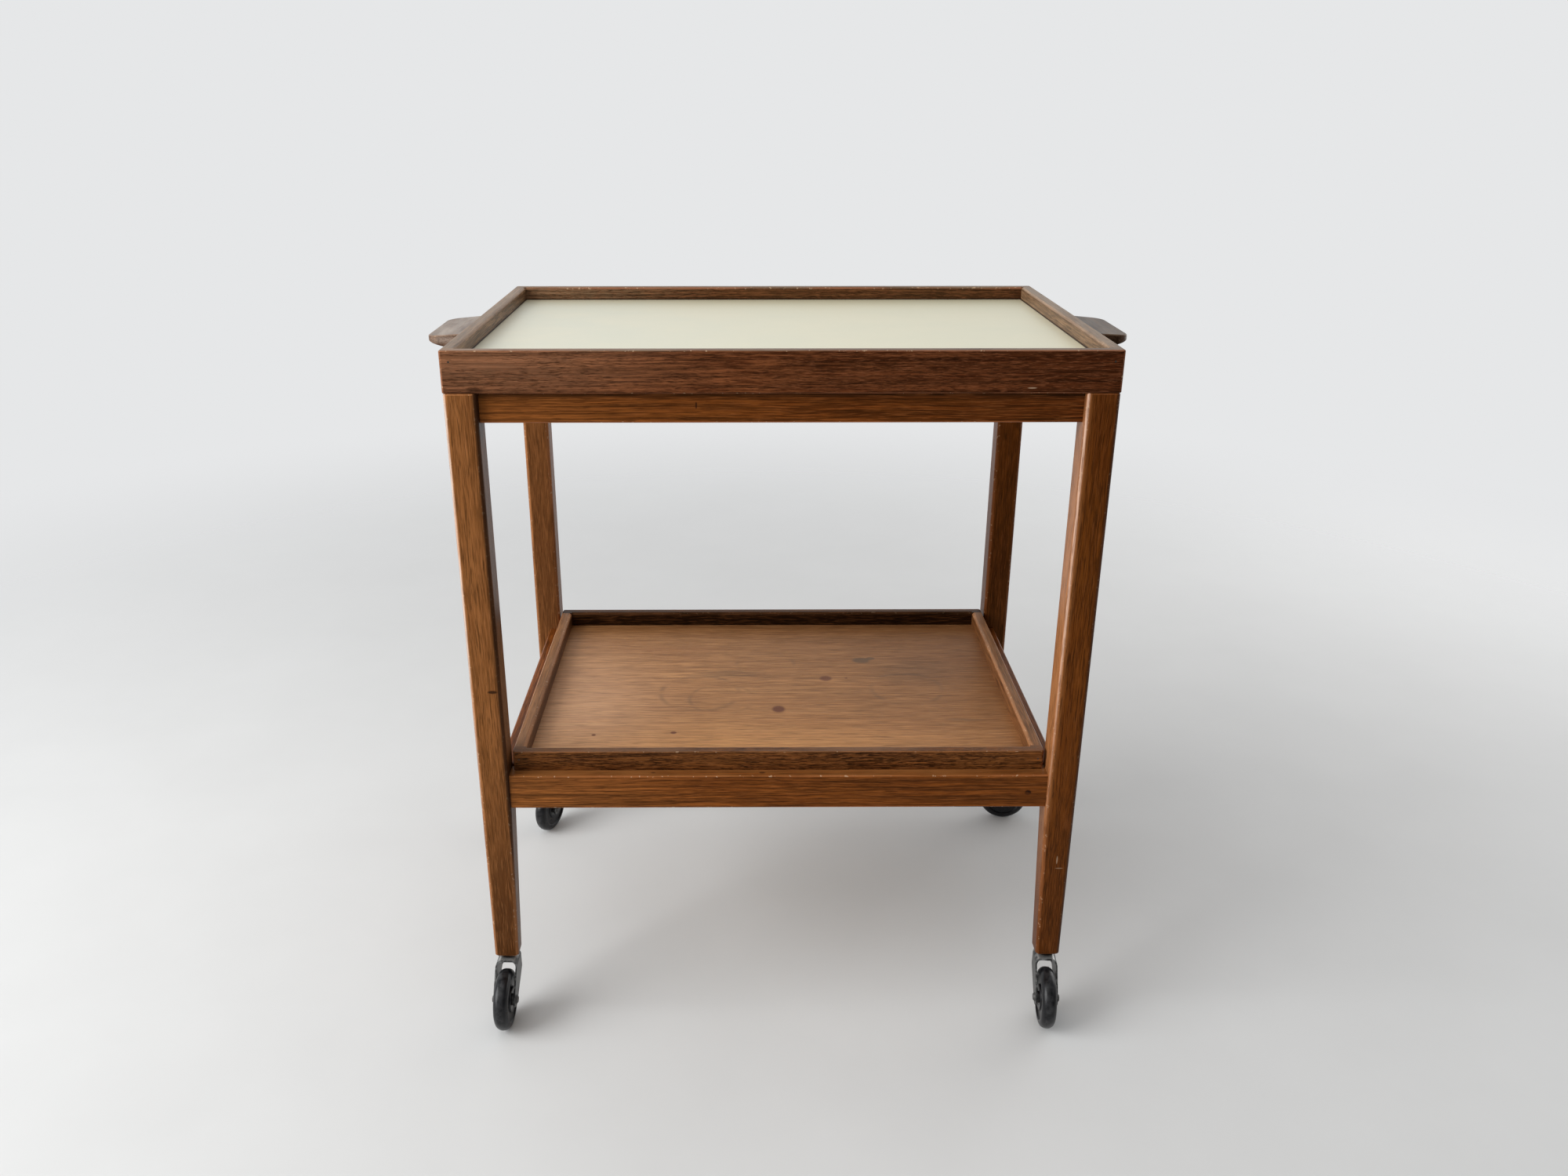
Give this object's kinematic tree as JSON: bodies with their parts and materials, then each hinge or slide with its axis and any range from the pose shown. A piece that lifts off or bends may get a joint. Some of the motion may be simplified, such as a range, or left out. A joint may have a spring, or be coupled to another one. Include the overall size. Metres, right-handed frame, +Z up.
{
  "type": "tea trolley",
  "caption": "Two-tier teak tea trolley: tapered legs on swivel castors, a lift-off serving tray with paddle handles and a pale laminate floor, and a rimmed lower shelf.",
  "frame": {"origin": "on the floor under the middle of the leg frame", "axes": "+X along the trolley towards its right handle, +Y from front to back, +Z up"},
  "size_m": [0.6951, 0.457, 0.712],
  "materials": {
    "frame_teak": "oiled, worn",
    "tray_teak": "weathered, grey-brown",
    "shelf_teak": "oiled",
    "teak_veneer": "stained and worn",
    "batten_wood": "plain sawn",
    "plywood": "raw",
    "laminate": "satin",
    "plated_steel": "zinc plated, dulled",
    "screw_steel": "dull",
    "pin_steel": "darkened",
    "black_rubber": "smooth"
  },
  "bodies": {
    "frame": {"apron_back": "frame_teak", "apron_front": "frame_teak", "apron_left": "frame_teak", "apron_right": "frame_teak", "castor_socket_back_left": "plated_steel", "castor_socket_back_right": "plated_steel", "castor_socket_front_left": "plated_steel", "castor_socket_front_right": "plated_steel", "leg_back_left": "frame_teak", "leg_back_right": "frame_teak", "leg_front_left": "frame_teak", "leg_front_right": "frame_teak", "lower_rail_back": "frame_teak", "lower_rail_front": "frame_teak", "lower_rail_left": "frame_teak", "lower_rail_right": "frame_teak", "shelf_core": "plywood", "shelf_rim_back": "shelf_teak", "shelf_rim_front": "shelf_teak", "shelf_rim_left": "shelf_teak", "shelf_rim_pins": "pin_steel", "shelf_rim_right": "shelf_teak", "shelf_screws": "screw_steel", "shelf_veneer": "teak_veneer"},
    "tray": {"handle_left": "tray_teak", "handle_right": "tray_teak", "handle_screws": "screw_steel", "tray_batten_left": "batten_wood", "tray_batten_right": "batten_wood", "tray_core": "plywood", "tray_laminate": "laminate", "tray_rim_back": "tray_teak", "tray_rim_front": "tray_teak", "tray_rim_left": "tray_teak", "tray_rim_pins": "pin_steel", "tray_rim_right": "tray_teak"},
    "castor_front_left": {"castor_stem_front_left": "plated_steel", "castor_fork_front_left": "plated_steel", "castor_axle_front_left": "plated_steel"},
    "wheel_front_left": {"wheel_bush_front_left": "plated_steel", "wheel_tyre_front_left": "black_rubber"},
    "castor_front_right": {"castor_stem_front_right": "plated_steel", "castor_fork_front_right": "plated_steel", "castor_axle_front_right": "plated_steel"},
    "wheel_front_right": {"wheel_bush_front_right": "plated_steel", "wheel_tyre_front_right": "black_rubber"},
    "castor_back_left": {"castor_stem_back_left": "plated_steel", "castor_fork_back_left": "plated_steel", "castor_axle_back_left": "plated_steel"},
    "wheel_back_left": {"wheel_bush_back_left": "plated_steel", "wheel_tyre_back_left": "black_rubber"},
    "castor_back_right": {"castor_stem_back_right": "plated_steel", "castor_fork_back_right": "plated_steel", "castor_axle_back_right": "plated_steel"},
    "wheel_back_right": {"wheel_bush_back_right": "plated_steel", "wheel_tyre_back_right": "black_rubber"}
  },
  "joints": [
    {"name": "tray_lift", "type": "slide", "parent": "frame", "child": "tray", "axis": [0, 0, 1], "range_m": [0, 0.25]},
    {"name": "castor_swivel_front_left", "type": "hinge", "parent": "frame", "child": "castor_front_left", "pos_m": [-0.2868, -0.191, 0.068], "axis": [0, 0, 1], "continuous": true},
    {"name": "wheel_spin_front_left", "type": "hinge", "parent": "castor_front_left", "child": "wheel_front_left", "pos_m": [-0.28758, -0.22099, 0.0315], "axis": [0.9997, -0.0262, 0], "continuous": true},
    {"name": "castor_swivel_front_right", "type": "hinge", "parent": "frame", "child": "castor_front_right", "pos_m": [0.2868, -0.191, 0.068], "axis": [0, 0, 1], "continuous": true},
    {"name": "wheel_spin_front_right", "type": "hinge", "parent": "castor_front_right", "child": "wheel_front_right", "pos_m": [0.28419, -0.22089, 0.0315], "axis": [0.9962, -0.0872, 0], "continuous": true},
    {"name": "castor_swivel_back_left", "type": "hinge", "parent": "frame", "child": "castor_back_left", "pos_m": [-0.2868, 0.191, 0.068], "axis": [0, 0, 1], "continuous": true},
    {"name": "wheel_spin_back_left", "type": "hinge", "parent": "castor_back_left", "child": "wheel_back_left", "pos_m": [-0.29706, 0.16281, 0.0315], "axis": [0.9397, -0.342, 0], "continuous": true},
    {"name": "castor_swivel_back_right", "type": "hinge", "parent": "frame", "child": "castor_back_right", "pos_m": [0.2868, 0.191, 0.068], "axis": [0, 0, 1], "continuous": true},
    {"name": "wheel_spin_back_right", "type": "hinge", "parent": "castor_back_right", "child": "wheel_back_right", "pos_m": [0.31664, 0.18786, 0.0315], "axis": [0.1045, 0.9945, 0], "continuous": true}
  ]
}
